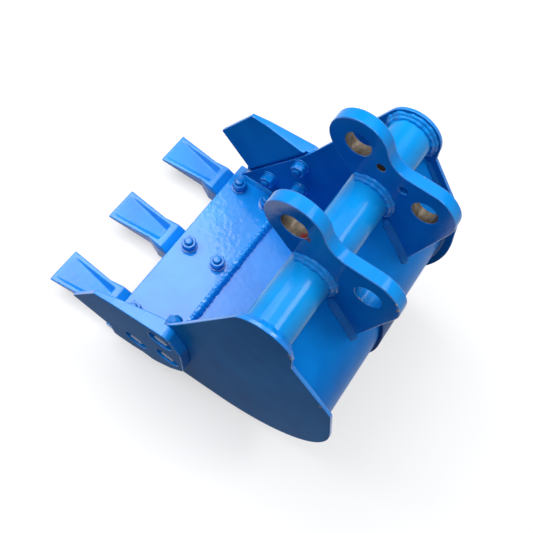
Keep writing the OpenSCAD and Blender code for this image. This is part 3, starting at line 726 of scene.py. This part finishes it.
def ripples(tree, sample, along, face, pitch, height):
    """Crests with sharp valleys, which bow 3.5 mm across the face and drift along the bead."""
    drift = add(tree, "ShaderNodeTexNoise", {"Vector": sample, "Scale": 1 / (12 * MM), "Detail": 1.0})
    bow = add(tree, "ShaderNodeMath", {0: 1.0, 1: face}, operation="SUBTRACT")
    bow = add(tree, "ShaderNodeMath", {0: face, 1: bow}, operation="MULTIPLY")
    bow = add(tree, "ShaderNodeMath", {0: bow, 1: 4 * 3.5 * MM}, operation="MULTIPLY")
    phase = add(tree, "ShaderNodeMath", {0: along, 1: bow}, operation="ADD")
    phase = add(tree, "ShaderNodeMath", {0: phase, 1: pitch}, operation="DIVIDE")
    phase = add(tree, "ShaderNodeMath", {0: drift, 1: 1.6, 2: phase}, operation="MULTIPLY_ADD")
    crest = add(tree, "ShaderNodeMath", {0: phase, 1: math.pi}, operation="MULTIPLY")
    crest = add(tree, "ShaderNodeMath", {0: crest}, operation="SINE")
    crest = add(tree, "ShaderNodeMath", {0: crest}, operation="ABSOLUTE")
    crest = add(tree, "ShaderNodeMath", {0: crest, 1: 0.65}, operation="SUBTRACT")
    return add(tree, "ShaderNodeMath", {0: crest, 1: height}, operation="MULTIPLY")


def closed_ends(tree, along, share):
    """1 along the bead and falling at both ends, which close in a rounded crater 7 mm long."""
    crater = 7 * MM
    total = add(tree, "ShaderNodeMath", {0: share, 1: 0.001}, operation="MAXIMUM")
    total = add(tree, "ShaderNodeMath", {0: along, 1: total}, operation="DIVIDE")
    total = add(tree, "ShaderNodeMath", {0: total, 1: crater}, operation="DIVIDE")
    ends = add(tree, "ShaderNodeMath", {0: 1.0, 1: share}, operation="SUBTRACT")
    ends = add(tree, "ShaderNodeMath", {0: share, 1: ends}, operation="MULTIPLY")
    ends = add(tree, "ShaderNodeMath", {0: ends, 1: total}, operation="MULTIPLY")
    ends = add(tree, "ShaderNodeMath", {0: ends, 1: 0.02}, operation="MAXIMUM")
    ends = add(tree, "ShaderNodeMath", {0: ends, 1: 1.0}, operation="MINIMUM")
    return add(tree, "ShaderNodeMath", {0: ends, 1: 0.45}, operation="POWER")


def bead_tree():
    """Geometry nodes that lay a bead of weld metal along a line. Each point of the line carries leg_a and
    leg_b, the directions in which the bead spreads over the two plates."""
    tree, given = new_tree("weld_bead", {
        "Geometry": "Geometry", "Leg A": "Float", "Leg B": "Float", "Flatness": "Float", "Ripple": "Float",
        "Pitch": "Float", "Groove": "Float", "Uneven": "Float", "Step": "Float", "Seed": "Float",
        "Finish": "Material"})
    body, carried = swept_circle(tree, given["Geometry"], given["Step"])
    along = carried["along"]
    face, hidden, legs = section_shares(tree, carried["turn"], given["Flatness"])
    shown = add(tree, "ShaderNodeMath", {0: 1.0, 1: hidden}, operation="SUBTRACT")
    sample = add(tree, "ShaderNodeCombineXYZ", {"X": along, "Y": given["Seed"]})
    swell = swelling(tree, sample, given["Uneven"])
    groove = pass_groove(tree, face, given["Groove"])
    ripple = ripples(tree, sample, along, face, given["Pitch"], given["Ripple"])
    ends = closed_ends(tree, along, carried["share"])
    size = add(tree, "ShaderNodeMath", {0: 1.0, 1: swell}, operation="ADD")
    size = add(tree, "ShaderNodeMath", {0: size, 1: groove}, operation="SUBTRACT")
    size = add(tree, "ShaderNodeMath", {0: size, 1: ripple}, operation="ADD")
    size = add(tree, "ShaderNodeMath", {0: size, 1: ends}, operation="MULTIPLY")
    spot = carried["place"]
    for (over, under), letter in zip(legs, "ab"):
        over = add(tree, "ShaderNodeMath", {0: over, 1: size}, operation="MULTIPLY")
        over = add(tree, "ShaderNodeMath", {0: over, 1: shown}, operation="MULTIPLY")
        under = add(tree, "ShaderNodeMath", {0: under, 1: ends}, operation="MULTIPLY")
        under = add(tree, "ShaderNodeMath", {0: under, 1: hidden}, operation="MULTIPLY")
        reach = add(tree, "ShaderNodeMath", {0: over, 1: under}, operation="ADD")
        reach = add(tree, "ShaderNodeMath", {0: reach, 1: given["Leg " + letter.upper()]},
                    operation="MULTIPLY")
        spread = add(tree, "ShaderNodeVectorMath", {0: carried["leg_" + letter], "Scale": reach},
                     operation="SCALE")
        spot = add(tree, "ShaderNodeVectorMath", {0: spot, 1: spread}, operation="ADD")
    body = add(tree, "GeometryNodeSetPosition", {"Geometry": body, "Position": spot})
    finished(tree, body, given["Finish"])
    return tree


BEAD = bead_tree()


def weld(node, runs, leg_a, leg_b, flatness=1.35, ripple=0.05, pitch=3.6, groove=0.0, uneven=0.16, seed=0.0,
         paint=weld_paint):
    """Beads along runs, lists of (point, direction a, direction b) in the drawing, in place of a CAD node."""
    points, edges, a_ways, b_ways = [], [], [], []
    for run in runs:
        edges += [(len(points) + i, len(points) + i + 1) for i in range(len(run) - 1)]
        for point, a, b in run:
            points.append(at(*point))
            a_ways.append(a)
            b_ways.append(b)
    line = bpy.data.meshes.new("line")
    line.from_pydata(points, edges, [])
    for title, ways in (("leg_a", a_ways), ("leg_b", b_ways)):
        values = np.array(ways, np.float32).ravel()
        line.attributes.new(title, "FLOAT_VECTOR", "POINT").data.foreach_set("vector", values)
    mesh = grown(BEAD, line, {
        "Leg A": leg_a * MM, "Leg B": leg_b * MM, "Flatness": flatness, "Ripple": ripple, "Pitch": pitch * MM,
        "Groove": groove, "Uneven": uneven, "Step": 0.6 * MM, "Seed": seed, "Finish": paint})
    shape = bmesh.new()
    shape.from_mesh(mesh)
    bmesh.ops.recalc_face_normals(shape, faces=shape.faces)
    shape.to_mesh(mesh)
    shape.free()
    for title in CARRIED:
        if title in mesh.attributes:
            mesh.attributes.remove(mesh.attributes[title])
    smooth(mesh, 60)
    return keep(mesh, node + "_painted", [node])


def rounded_corner(a, b, c, radius):
    """Points of the corner b between a and c, rounded to radius."""
    steps = 24
    p, q = (a - b) / np.linalg.norm(a - b), (c - b) / np.linalg.norm(c - b)
    turn = math.acos(float(p @ q))
    centre = b + (p + q) / np.linalg.norm(p + q) * radius / math.sin(turn / 2)
    start, end = b + p * radius / math.tan(turn / 2), b + q * radius / math.tan(turn / 2)
    first, last = (math.atan2(*(v - centre)[::-1]) for v in (start, end))
    sweep = (last - first + math.pi) % (2 * math.pi) - math.pi
    angles = [first + sweep * i / steps for i in range(steps + 1)]
    return [centre + radius * np.array([math.cos(angle), math.sin(angle)]) for angle in angles]


def wrapper_line(offset):
    """The wrapper's outer surface moved out by offset, from the lip to the tube, as points (y, z)."""
    back = TUBE @ OUT_OF_BACK + TUBE_SET + offset
    depth = SHELL_D + offset
    low = np.array([LIP_D, -LIP_T - offset])
    heel = np.array([depth, -LIP_T - offset])
    fold = np.array([depth, (back - OUT_OF_BACK[0] * depth) / OUT_OF_BACK[1]])
    top = TUBE + OUT_OF_BACK * (TUBE_SET + offset)
    floor = [low + (heel - low) * t * 0.2 for t in (0.0, 0.5, 1.0)]
    line = floor + rounded_corner(low, heel, fold, HEEL_R + offset)
    line += rounded_corner(heel, fold, top, FOLD_R + offset)
    return np.array(line + [line[-1] + (top - line[-1]) * t for t in (0.25, 0.5, 0.75, 1.0)])


def clear_of_tube(p):
    """True for points of the wrapper that the tube's own welds leave free."""
    return np.linalg.norm(p - TUBE) > TUBE_R + 9


def behind_lip(p):
    """True for points of the wrapper between the lip's weld and the tube's."""
    return p[0] > LIP_D + 11 and clear_of_tube(p)


def round_heel(p):
    """True for points of the wrapper from the heel's bend up to the tube's weld."""
    return (p[0] > SHELL_D - 0.4 * HEEL_R or p[1] > 150) and clear_of_tube(p)


def along_wrapper(offset, spread, wanted):
    """Runs along the wrapper on both side plates; spread is 1 outside the shell and -1 inside."""
    line, beyond = wrapper_line(offset), wrapper_line(offset + spread)
    return [[((side * INNER, p[0], p[1]), (-side, 0, 0), (0, *(b - p) / np.linalg.norm(b - p)))
             for p, b in zip(line, beyond) if wanted(p)] for side in (-1, 1)]


def round_tube(x, way, first, last):
    """Run round the tube on a face at x that looks towards way; angles go from +Y towards +Z, in degrees."""
    run, steps = [], 72
    for i in range(steps + 1):
        a = math.radians(first + (last - first) * i / steps)
        out = (0.0, math.cos(a), math.sin(a))
        run.append(((x, TUBE[0] + TUBE_R * out[1], TUBE[1] + TUBE_R * out[2]), out, (way, 0.0, 0.0)))
    return run


def lip_rear_runs():
    """The passes behind the lip. The root pass fills the step, the second one rounds it off, and a low cap
    lies over the lip's rear edge, a half to each side of its crest. Each is a place before the rear edge, a
    height, and its reach up and to the back as shares of the legs."""
    root, second = (1.0, WRAP_T - LIP_T, 1.0, 1.0), (3.5, -4.4, 0.65, 0.65)
    cap_back, cap_front = (0.5, -1.4, 0.44, 0.6), (0.5, -1.4, 0.44, -0.3)
    return [[((x, LIP_D - before, z), (0, 0, up_share), (0, back_share, 0)) for x in (-INNER, INNER)]
            for before, z, up_share, back_share in (root, second, cap_back, cap_front)]


def lip_side_runs():
    """The lip's top on both side plates, from the plates' tip to the rear weld."""
    return [[((side * INNER, y, 0.0), (-side, 0, 0), (0, 0, 1)) for y in (PLATE_TIP + 4, LIP_D - 8)]
            for side in (-1, 1)]


def tube_ring_runs():
    """The tube on the side plates and on both faces of the ears."""
    at_plate, at_ear = (-35, 303), (-33, 139)
    runs = []
    for side in (-1, 1):
        runs += [round_tube(side * INNER, -side, *at_plate), round_tube(side * EAR_OUT, side, *at_ear),
                 round_tube(side * EAR_IN, -side, *at_ear)]
    return runs


def ear_foot_runs():
    """Both faces of the ears' feet on the back wall, from under the tube's ring to just past their tips."""
    down = wrapper_line(0)[::-1]
    out = (wrapper_line(1) - wrapper_line(0))[::-1]
    gone = np.concatenate([[0], np.cumsum(np.linalg.norm(np.diff(down, axis=0), axis=1))])
    under_ring, past_tip, points = 46, EAR_LEN + 7.5, 24
    stations = np.linspace(under_ring, past_tip, points)
    ys, zs = (np.interp(stations, gone, down[:, k]) for k in (0, 1))
    ny, nz = (np.interp(stations, gone, out[:, k]) for k in (0, 1))
    return [[((x, y, z), (way, 0, 0), (0, a, b)) for y, z, a, b in zip(ys, zs, ny, nz)]
            for side in (-1, 1) for x, way in ((side * EAR_OUT, side), (side * EAR_IN, -side))]


def tube_seam_runs():
    """The three lengths of the corner where the back wall's outer face meets the tube."""
    meet, clear = math.radians(-39), 8
    corner = TUBE + TUBE_R * np.array([math.cos(meet), math.sin(meet)])
    climb = (0.0, -math.sin(meet), math.cos(meet))
    lengths = ((-INNER + clear, -EAR_OUT - clear), (-EAR_IN + clear, EAR_IN - clear),
               (EAR_OUT + clear, INNER - clear))
    return [[((x, corner[0], corner[1]), (0, -UP_BACK[0], -UP_BACK[1]), climb) for x in ends]
            for ends in lengths]


weld("lip_rear_weld", lip_rear_runs(), 10.6, 10.6, flatness=0.95, ripple=0.24, pitch=11, uneven=0.5, seed=3.0,
     paint=lip_weld_paint)
weld("lip_side_welds", lip_side_runs(), 7.6, 7.6, seed=9.0)
weld("wrapper_inner_welds", along_wrapper(-WRAP_T, -1, behind_lip), 6, 6, seed=14.0)
weld("wrapper_outer_welds", along_wrapper(0, 1, round_heel), 6, 6, seed=21.0, paint=seam_paint_with_painted_shade)
weld("tube_ring_welds", tube_ring_runs(), 9, 9, flatness=1.1, ripple=0.09, pitch=13, groove=0.2, uneven=1.0,
     seed=31.0)
weld("ear_foot_welds", ear_foot_runs(), 9, 8.6, flatness=1.5, ripple=0.06, pitch=4.0, uneven=0.18, seed=42.0,
     paint=seam_paint_with_painted_shade)
weld("tube_seam_weld", tube_seam_runs(), 7, 7, seed=55.0)


# Stage: pale floor, soft light and the photograph's camera

# The photograph's side, its focal length and its centre in pixels, and the camera's place in metres
FRAME_PX = 533
FOCAL_PX = 700.922
CENTRE_PX = (331.348, 266.747)
CAMERA = (0.446605, 0.165455, 0.752206)


def seen(tree, dark, bright):
    """A value that is dark for light that bounces on and bright for what the camera, metal and glass show."""
    path = tree.nodes.new("ShaderNodeLightPath").outputs
    share = path["Is Camera Ray"]
    for kind in ("Is Glossy Ray", "Is Transmission Ray"):
        share = add(tree, "ShaderNodeMath", {0: share, 1: path[kind]}, operation="MAXIMUM")
    return add(tree, "ShaderNodeMixRGB", {"Fac": share, "Color1": dark, "Color2": bright})


def pale_floor():
    """A matt floor under the bucket that keeps its shadow."""
    material, tree = new_material("pale_studio_floor")
    shade = seen(tree, linear("#4a4c50"), linear("#a8a8aa"))
    glow = seen(tree, (0, 0, 0, 1), (0.55, 0.55, 0.55, 1))
    surface = add(tree, "ShaderNodeBsdfPrincipled", {
        "Base Color": shade, "Roughness": 0.9, "Specular IOR Level": 0.1, "Emission Color": glow,
        "Emission Strength": 1.0})
    add(tree, "ShaderNodeOutputMaterial", {"Surface": surface})
    half, low = 12, cad_box[0].z - 0.5 * MM
    mesh = bpy.data.meshes.new("floor")
    mesh.from_pydata([(-half, -half, low), (half, -half, low), (half, half, low), (-half, half, low)], [],
                     [(0, 1, 2, 3)])
    mesh.materials.append(material)
    floor = bpy.data.objects.new("floor", mesh)
    bpy.context.scene.collection.objects.link(floor)


def soft_room():
    """White walls all round and a dark ceiling, as the camera and the gloss see them."""
    world = bpy.data.worlds.new("soft_room")
    bpy.context.scene.world = world
    world.use_nodes = True
    tree = world.node_tree
    tree.nodes.clear()
    ray = add(tree, "ShaderNodeTexCoord", out="Generated")
    height = add(tree, "ShaderNodeSeparateXYZ", {"Vector": ray}, out="Z")
    share = add(tree, "ShaderNodeMapRange", {"Value": height, "From Min": 0.35, "From Max": 0.6})
    room = add(tree, "ShaderNodeMixRGB", {
        "Fac": share, "Color1": (1, 1, 1, 1), "Color2": (0.16, 0.18, 0.22, 1)})
    sky = add(tree, "ShaderNodeBackground", {"Color": seen(tree, (0.06, 0.075, 0.095, 1), room)})
    add(tree, "ShaderNodeOutputWorld", {"Surface": sky})


def lamp(name, kind, place, aim, **settings):
    """A light at place that points at aim."""
    data = bpy.data.lights.new(name, kind)
    for key, value in settings.items():
        setattr(data, key, value)
    light = bpy.data.objects.new(name, data)
    bpy.context.scene.collection.objects.link(light)
    light.location = place
    light.rotation_euler = (Vector(aim) - Vector(place)).to_track_quat("-Z", "Y").to_euler()


def lamps():
    """A wide, even source overhead, a softbox that the lip's near end and the teeth mirror, and a small light
    that draws the highlights along the tube."""
    lamp("wide_overhead_light", "SUN", (0, 0, 3), (0, -0.1, 0), energy=2.05, angle=math.radians(80),
         color=(1, 0.99, 0.97))
    lamp("softbox", "AREA", (-0.28, -2.14, 2.98), (0.20, -0.22, -0.50), shape="DISK", size=3.07, energy=104)
    lamp("small_bright_light", "SUN", (0, 0, 3), (1.28, -1.65, 0), energy=0.8, angle=math.radians(20))


def photograph_camera():
    """The camera at the photograph's view, solved from the bucket's straight edges and round bores."""
    lens = bpy.data.cameras.new("camera")
    lens.sensor_width = 36
    lens.lens = FOCAL_PX * lens.sensor_width / FRAME_PX
    lens.shift_x = -(CENTRE_PX[0] - FRAME_PX / 2) / FRAME_PX
    lens.shift_y = (CENTRE_PX[1] - FRAME_PX / 2) / FRAME_PX
    camera = bpy.data.objects.new("camera", lens)
    bpy.context.scene.collection.objects.link(camera)
    right = Vector((-0.5327478, 0.8358531, 0.1323984))
    down = Vector((0.7387613, 0.5356545, -0.4090307))
    ahead = Vector((-0.4128093, -0.1200994, -0.9028647))
    turn = Matrix((right, -down, -ahead)).transposed().to_4x4()
    camera.matrix_world = Matrix.Translation(CAMERA) @ turn
    bpy.context.scene.camera = camera


pale_floor()
soft_room()
lamps()
photograph_camera()
bpy.context.scene.view_settings.view_transform = "Standard"
